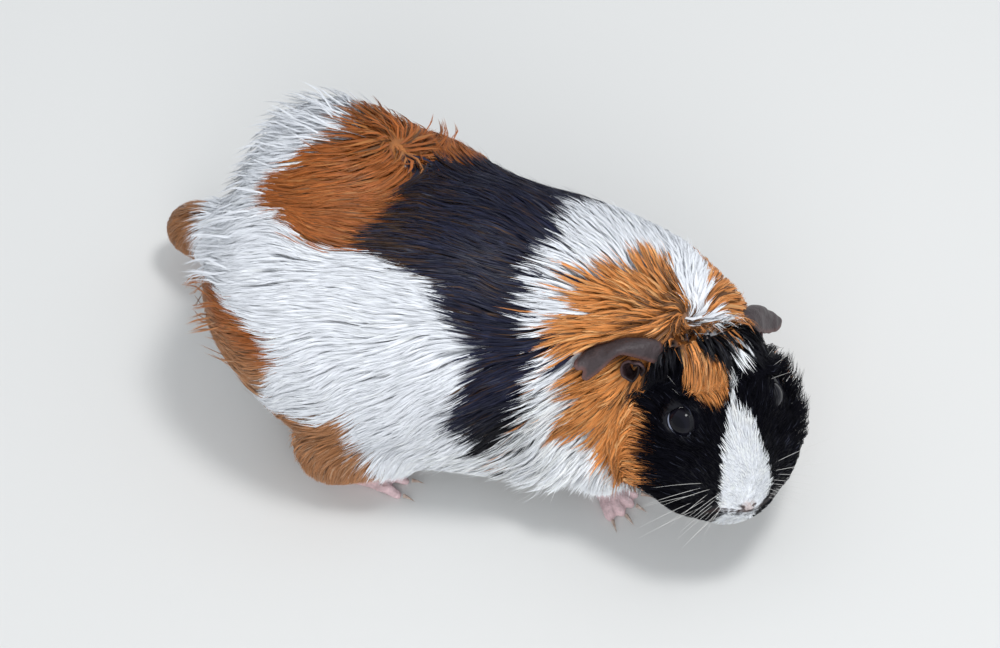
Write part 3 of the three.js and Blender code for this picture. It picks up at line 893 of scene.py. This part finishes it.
def locks(name, normals, line, radius, roll, colours, patches, slot, finish):
    """One joined mesh of closed tapered locks, with its colours and its bake patches."""
    count, rings = line.shape[0], line.shape[1] - 1
    along = towards(np.gradient(line, axis=1))
    aside = towards(np.cross(along, normals[:, None, :]))
    above = np.cross(aside, along)
    facing = above
    above = above * np.cos(roll)[:, None, None] + aside * np.sin(roll)[:, None, None]
    aside = np.cross(along, above)
    share = np.arange(rings) / rings
    taper = (0.6 + 0.4 * np.sin(np.pi * np.clip(share * 1.3 + 0.1, 0, 1))) * (1 - 0.35 * share)
    wide = (radius[:, None] * taper[None])[:, :, None]
    verts = np.empty((count, rings * 3 + 1, 3))
    verts[:, 0 : rings * 3 : 3] = line[:, :rings] + aside[:, :rings] * wide
    verts[:, 1 : rings * 3 : 3] = line[:, :rings] - aside[:, :rings] * wide
    verts[:, 2 : rings * 3 : 3] = line[:, :rings] - above[:, :rings] * wide * keel
    verts[:, -1] = line[:, -1]
    faces = [(0, 1, 2)]
    for k in range(rings - 1):
        for j in range(3):
            a, b = 3 * k + j, 3 * k + (j + 1) % 3
            faces += [(a, b + 3, b), (a, a + 3, b + 3)]
    last = 3 * (rings - 1)
    faces += [(last + j, 3 * rings, last + (j + 1) % 3) for j in range(3)]
    faces = np.array(faces)
    per = rings * 3 + 1
    corners = (faces[None] + per * np.arange(count)[:, None, None]).reshape(-1)
    mesh = bpy.data.meshes.new(name)
    mesh.vertices.add(count * per)
    mesh.vertices.foreach_set("co", verts.astype(np.float32).ravel())
    total = len(corners) // 3
    mesh.loops.add(total * 3)
    mesh.loops.foreach_set("vertex_index", corners.astype(np.int32))
    mesh.polygons.add(total)
    mesh.polygons.foreach_set("loop_start", np.arange(0, total * 3, 3, dtype=np.int32))
    mesh.update(calc_edges=True)
    shine = np.empty((count, per, 3))
    shine[:, 0 : rings * 3 : 3] = facing[:, :rings] + 0.3 * aside[:, :rings]
    shine[:, 1 : rings * 3 : 3] = facing[:, :rings] - 0.3 * aside[:, :rings]
    shine[:, 2 : rings * 3 : 3] = -above[:, :rings]
    shine[:, -1] = facing[:, -1]
    mesh.normals_split_custom_set_from_vertices(towards(shine).reshape(-1, 3).astype(np.float32))
    shade = mesh.color_attributes.new("hair", "FLOAT_COLOR", "POINT")
    tints = np.ones((count, per, 4))
    tints[:, :, :3] = colours
    shade.data.foreach_set("color", tints.astype(np.float32).ravel())
    step = np.append(np.repeat(np.arange(rings), 3), rings) / rings
    around = np.append(np.tile([0.0, 0.4, 0.8], rings), 0.4)
    spot = np.stack([around - 0.4, step - 0.5], 1) * bake_patch
    low, high = patches.min(0), patches.max(0)
    patches = 0.004 + 0.992 * (patches - low) / np.maximum(high - low, 1e-6)
    layer = mesh.uv_layers.new(name="OFBake")
    spots = (patches[:, None, :] + spot[None]).reshape(-1, 2)[corners]
    layer.uv.foreach_set("vector", spots.astype(np.float32).ravel())
    piece = bpy.data.objects.new(name, mesh)
    bpy.context.scene.collection.objects.link(piece)
    mesh.materials.append(finish)
    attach(piece, "root")


def hair_finish(name, roughness, gloss, uneven):
    return tinted_finish(
        name, "hair", roughness, gloss, {"Detail": 3}, {"To_Min": 1 - uneven, "To_Max": 1 + uneven * 0.9}
    )[0]


finishes = {
    "white": hair_finish("white_hair_finish", 0.6, 0.25, 0.025),
    "black": hair_finish("black_hair_finish", 0.42, 0.2, 0.35),
    "fur_black": hair_finish("black_fur_finish", 0.5, 0.035, 0.3),
    "ginger": hair_finish("ginger_hair_finish", 0.5, 0.35, 0.14),
}


def hair_kind(seen, group):
    """White 0, black 1 or ginger 2 for each hair, from the markings where it is seen."""
    count = group.max() + 1
    ragged = (1 - 0.6 * ramp(head_places(seen)[:, 0], -5, 5))[:, None] * mm
    seen = seen + (chance.normal(0, 0.8, (count, 3))[group] + chance.normal(0, 0.5, seen.shape)) * ragged
    black, ginger, ticked = marking(seen)
    kind = np.argmax([1 - black - ginger, black, ginger], axis=0)
    luck = chance.random(len(seen))
    return np.where(luck < 0.42 * ticked, 1, np.where(luck < 0.55 * ticked, 2, kind))


brown_hair, glint_hair, rusty_hair = (0.16, 0.07, 0.028), (0.045, 0.048, 0.070), (0.055, 0.028, 0.015)


def hair_colours(kind, group, seen, steps):
    """The colour along each hair, with painted shade at its root and pale and dark hairs among the rest."""
    n = len(kind)
    tone = np.array([white_hair, black_hair_and_sheen, ginger_hair])[kind]
    on_face = ramp(head_places(seen)[:, 0], -22, -10)[:, None]
    tone = np.where((kind == 1)[:, None], black_hair_and_sheen + (face_black - black_hair_and_sheen) * on_face, tone)
    tone = np.where((kind == 0)[:, None], white_hair * (1 + 0.06 * on_face), tone)
    behind = ramp(seen[:, 1] / mm, -20, 10)[:, None]
    tone = np.where((kind == 2)[:, None], ginger_hair + (red_hair - ginger_hair) * behind, tone)
    low = ramp(-seen[:, 2] / mm, -66, -52)[:, None] * behind
    tone = np.where((kind == 2)[:, None], tone + (tan_hair - tone) * low, tone)
    vary = np.array([0.03, 0.25, 0.13])[kind]
    bright = 1 + vary * (chance.normal(0, 0.8, group.max() + 1)[group] + chance.normal(0, 0.8, n))
    luck = chance.random(n)
    brown = 0.08 + 0.45 * close_to(seen, whorl, 20)
    rusty = (0.1 + 0.45 * ramp(seen[:, 1] / mm, 2, 26) * ramp(seen[:, 2] / mm, 60, 85)) * (1 - on_face[:, 0])
    tone = np.where(((kind == 2) & (luck > 0.86))[:, None], tone * (1.1, 1.5, 2.2), tone)
    tone = np.where(((kind == 2) & (luck < brown))[:, None], brown_hair, tone)
    # A few black hairs are painted bluish grey, as glints of sheen; fewer on the face.
    tone = np.where(((kind == 1) & (luck > 0.93 + 0.04 * on_face[:, 0]))[:, None], glint_hair, tone)
    tone = np.where(((kind == 1) & (luck < rusty))[:, None], rusty_hair, tone)
    # Black and ginger hairs are painted darker towards the root, as shade deep in the coat; white ones are
    # not.
    deep = np.array([1.0, 0.8, 0.72])[kind]
    root_shade = np.append(np.repeat(np.arange(steps) / steps, 3), 1.0)
    root_shade = deep[:, None] + (1 - deep[:, None]) * root_shade[None] ** 0.7
    return (tone[:, None, :] * bright.clip(0.5, 1.5)[:, None, None] * root_shade[:, :, None]).clip(0, 0.985)


def stand(places):
    """The fur of the cheeks and jaw stands out further than the rest of the face."""
    f, l, u = head_places(places).T
    out = (1 + 0.5 * (l > 0)) * ramp(np.abs(l), 18, 28) * ramp(-f, -38, -24) * ramp(f, -8, 4)
    return 1 + out * (1 - (l > 0) * ramp(-u, 10, 22)) + 1.7 * on_jaw(f, l, u)


def grow(wanted, steps, radius, clump, pull, low, high, bow, stray=0.07):
    """Grows tufts on the skin: their lines, widths, colours and places on the skin's map. They reach from a
    low to a high share of the coat's depth, and rise sooner where the bow is larger."""
    roots, normals, patches = scatter(wanted, (bare > 1.0) & (from_ear > 0.4))
    n = len(roots)
    length = hair_length(roots) * mm * chance.uniform(0.75, 1.15, n)
    height = coat_depth(roots) * chance.uniform(low, high, n) * stand(roots)
    line = comb(roots, length, height, steps, chance.normal(0, stray, (n, 3)), bow)
    line, group = draw_together(line, roots, max(clump * 7, 20), 0.15)
    line, group = draw_together(line, roots, clump, pull)
    clear = near_any(line[:, 1:].reshape(-1, 3), bare_ear).reshape(n, steps).min(1) > 1.0
    for part in (line, (line[:, 1:] + line[:, :-1]) / 2):
        clear &= np.linalg.norm(part[:, :, None] - cup_mouths[None, None], axis=3).min((1, 2)) > 4.3 * mm
    normals, line, patches, group = normals[clear], line[clear], patches[clear], group[clear]
    seen = 0.4 * line[:, 0] + 0.6 * line[:, -1]
    kind = hair_kind(seen, group)
    colours = hair_colours(kind, group, seen, steps)
    width = radius * mm * chance.uniform(0.7, 1.2, len(kind))
    roll = chance.normal(0, 1, len(kind)) * np.array([0.2, 0.5, 0.35])[kind]
    return normals, line, width, roll, colours, patches, kind, seen, group


def strands(tufts, each, radius, steps):
    """Fine hair on the tufts: strands that start in a tuft, lie on it and fan out past its tip."""
    normals, line, width, roll, colours, patches, kind, seen, group = tufts
    parent = np.repeat(np.arange(len(kind)), each)
    n = len(parent)
    along = towards(np.gradient(line, axis=1))
    aside = towards(np.cross(along, normals[:, None, :]))
    above = np.cross(aside, along)
    last = line.shape[1] - 1
    start, end = chance.uniform(0.15, 0.5, n), chance.uniform(0.85, 1.14, n)
    across = chance.uniform(-1.25, 1.25, n)
    lift = chance.uniform(0.03, 0.28, n) * mm
    made = []
    for k in range(steps + 1):
        t = (start + (end - start) * k / steps) * last
        i = np.minimum(t.astype(int), last - 1)
        share = (t - i)[:, None]
        place = line[parent, i] * (1 - share) + line[parent, i + 1] * share
        side = aside[parent, i] * (1 - share) + aside[parent, i + 1] * share
        up = above[parent, i] * (1 - share) + above[parent, i + 1] * share
        spread = width[parent] * across * (0.95 - 0.2 * t / last) * (1 + 0.5 * (k == steps))
        place = place + side * spread[:, None] + up * (lift if k else -0.15 * mm * np.ones(n))[:, None]
        made.append(place)
    made = np.stack(made, 1)
    seen = 0.4 * made[:, 0] + 0.6 * made[:, -1]
    own = hair_kind(seen, parent)
    own = np.where(chance.random(n) < 0.5, kind[parent], own)
    tints = hair_colours(own, parent, seen, steps)
    thin = radius * mm * chance.uniform(0.7, 1.25, n)
    turn = chance.normal(0, 1, n) * np.array([0.25, 0.6, 0.4])[own]
    spots = patches[parent] + chance.normal(0, 0.003, (n, 2))
    return normals[parent], made, thin, turn, tints, spots, own, seen, parent


names = ("white", "black", "ginger")
most_triangles = 190000


def dress(label, parts):
    """Makes pieces of one colour each, split from front to back where one would be too large."""
    normals, line, width, roll, colours, patches, kind, seen = parts[:8]
    for k, colour in enumerate(names):
        chosen = np.where(kind == k)[0]
        chosen = chosen[np.argsort(seen[chosen, 1])]
        each = 6 * (line.shape[1] - 2) + 4
        pieces = math.ceil(len(chosen) * each / most_triangles)
        finish = finishes.get(f"{label}_{colour}", finishes[colour])
        for number, some in enumerate(np.array_split(chosen, pieces) if pieces else []):
            picked = [values[some] for values in (normals, line, width, roll, colours, patches)]
            locks(f"coat_{label}_{colour}_{number + 1}", *picked, f"coat_{colour}", finish)


def shares_of_skin(places):
    """Which growth a place on the skin has: long coat, short face and wrist fur, or the middle of a whorl."""
    f, l, u = head_places(places).T
    on_face = past_hairline(f, l, u) >= 4
    wrist = ramp(-from_paw(places), -32, -24) * ~on_face
    middle = sum(close_to(places, crown, 6) for crown in crowns)
    return ~on_face * (1 - wrist), on_face + 0.7 * wrist, middle


def wisp_count(places):
    """Fluffy wisps stand up on the rump, more on its far side and behind."""
    x, y, z = (places / mm).T
    behind = ramp(y, 60, 80) * ramp(z, 35, 55)
    hip = ramp(y, 30, 50) * ramp(x, 10, 26) * ramp(z, 58, 76)
    crest = ramp(y, 6, 24) * ramp(x, 22, 32) * ramp(z, 72, 84)
    return (0.05 * behind + 0.07 * hip + 0.07 * crest) * ramp(from_crowns(places), 8, 14)


shaggy, smooth, swirl = range(3)


def on(share, count):
    """Roots on each square millimetre of one of the three shares of the skin."""
    return lambda places: count * shares_of_skin(places)[share]


tufts = grow(on(shaggy, 0.385), steps=3, radius=0.645, clump=6, pull=0.1, low=0.8, high=1.0, bow=2.6)
dress("tufts", tufts)
dress("strands", strands(tufts, each=4, radius=0.105, steps=2))
fur = grow(on(smooth, 2.9), steps=2, radius=0.155, clump=7, pull=0.5, low=0.6, high=1.0, bow=1.8)
dress("fur", fur)
wisps = grow(wisp_count, steps=3, radius=0.3, clump=5, pull=0.6, low=1.1, high=2.9, bow=1.0, stray=0.25)
dress("wisps", wisps)
dress("wisp_strands", strands(wisps, each=7, radius=0.1, steps=2))
loose = grow(on(shaggy, 0.07), steps=3, radius=0.09, clump=3, pull=0.2, low=1.0, high=1.5, bow=1.6, stray=0.2)
dress("loose", loose)
whorls = grow(on(swirl, 2.2), steps=3, radius=0.2, clump=5, pull=0.3, low=0.45, high=0.9, bow=2.0, stray=0.2)
dress("whorl", whorls)

# ------------------------------------------------------------------ whiskers
# Stiff pale bristles in rows on both sides of the nose, and a few over each eye. Each is one hair that bends
# down, and those that would spread furthest to the right are shorter.
whisker_radius = 0.065 * mm
whisker_limit = -68 * mm
lowest_tip = 0.6 * mm
whisker_roots, whisker_tips = [], []
for side, turn in sides.items():
    for row in range(4):
        for column in range(4):
            l = -1.5 + turn * (8.5 + 1.9 * column)
            root = on_skin(on_head(41.5 - 2.8 * column, l, 1.5 - 2.8 * row))[0]
            way = np.array((0.45 - 0.22 * column, turn, -0.1 - 0.16 * row)) + chance.normal(0, 0.13, 3)
            whisker_roots.append(root)
            long = 15 + 3.6 * column + chance.normal(0, 2.5)
            whisker_tips.append(root + towards(way) @ head_ways * long * mm)
    for number in range(3):
        root = on_skin(on_head(2 + 3 * number, turn * 17, 13))[0]
        way = np.array((-0.5 + 0.3 * number, 0.6 * turn, 0.8))
        whisker_roots.append(root)
        whisker_tips.append(root + towards(way) @ head_ways * 11 * mm)
whisker_roots, whisker_tips = np.array(whisker_roots), np.array(whisker_tips)
rightward = whisker_roots[:, 0] - whisker_tips[:, 0]
reach = np.clip((whisker_roots[:, 0] - whisker_limit) / rightward, 0, 1)
reach = np.where(whisker_tips[:, 0] < whisker_limit, reach, 1)[:, None]
whisker_tips = whisker_roots + (whisker_tips - whisker_roots) * reach
whisker_lengths = np.linalg.norm(whisker_tips - whisker_roots, axis=1)[:, None]
along = np.linspace(0, 1, 9)[None, :, None]
whisker_line = whisker_roots[:, None] + (whisker_tips - whisker_roots)[:, None] * along
whisker_line[:, :, 2] -= 0.1 * whisker_lengths * along[:, :, 0] ** 2
whisker_line[:, :, 2] = np.maximum(whisker_line[:, :, 2], lowest_tip)
count = len(whisker_roots)
locks(
    "whiskers",
    np.tile(np.array(upward), (count, 1)),
    whisker_line,
    np.full(count, whisker_radius),
    np.zeros(count),
    np.tile(np.array([0.62, 0.61, 0.59]), (count, 25, 1)),
    chance.random((count, 2)),
    "coat_white",
    hair_finish("whisker_finish", 0.35, 0.5, 0.06),
)

# ------------------------------------------------------------------ claws
# Short curved claws of pale horn, with fine streaks along them.
claw_finish, nodes_of, shader, link = new_finish("claw_finish", 0.38)
place = add_node(nodes_of, "TexCoord")
streaks = add_node(nodes_of, "TexNoise", Scale=900, Detail=4)
horn = add_node(nodes_of, "ValToRGB")
horn_stops = ((0.3, (0.30, 0.20, 0.16, 1)), (0.7, (0.56, 0.45, 0.38, 1)))
for stop, (at, colour) in zip(horn.color_ramp.elements, horn_stops):
    stop.position = at
    stop.color = colour
link(place.outputs["Object"], streaks.inputs["Vector"])
link(streaks.outputs["Fac"], horn.inputs["Fac"])
link(horn.outputs["Color"], shader.inputs["Base Color"])
add_bump(nodes_of, shader, link, streaks.outputs["Fac"], 0.3, 0.0001)
for name, node in nodes.items():
    if name.startswith("claw_"):
        for slot in node.material_slots:
            slot.material = claw_finish
